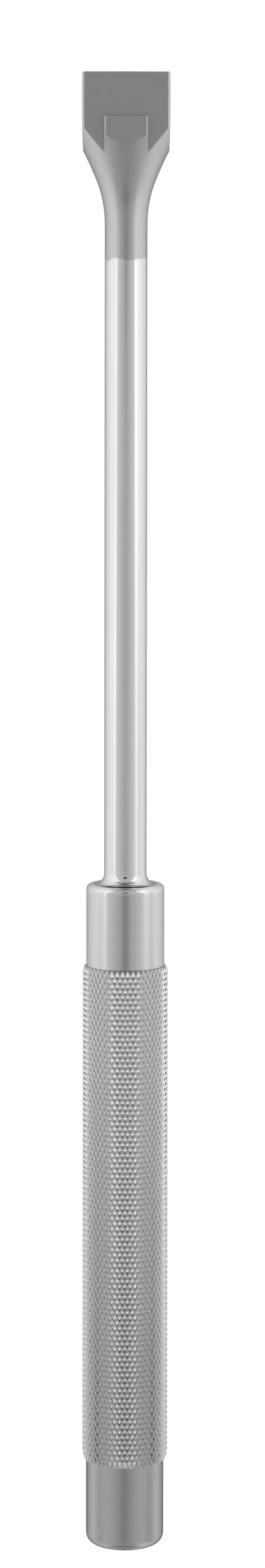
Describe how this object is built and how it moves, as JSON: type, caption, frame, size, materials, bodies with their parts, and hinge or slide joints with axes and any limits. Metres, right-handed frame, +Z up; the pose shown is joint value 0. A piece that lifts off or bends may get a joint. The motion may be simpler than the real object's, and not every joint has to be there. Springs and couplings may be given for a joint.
{
  "type": "surgical impactor",
  "caption": "One-piece steel bone impactor: milled rectangular head with a raised boss on each broad side, flared slim shaft, collar and diamond-knurled grip.",
  "frame": {"origin": "bottom centre of the box around the impactor as it lies on one boss of its head", "axes": "+Y along the tool's axis towards the impact face, +Z up out of the upper boss, +X across the head"},
  "size_m": [0.019, 0.3226, 0.0201],
  "materials": {
    "steel": "satin head, neck and striking end; polished shaft; fine-turned collar; knurled grip"
  },
  "bodies": {
    "root": {"impactor": "steel"}
  },
  "joints": []
}
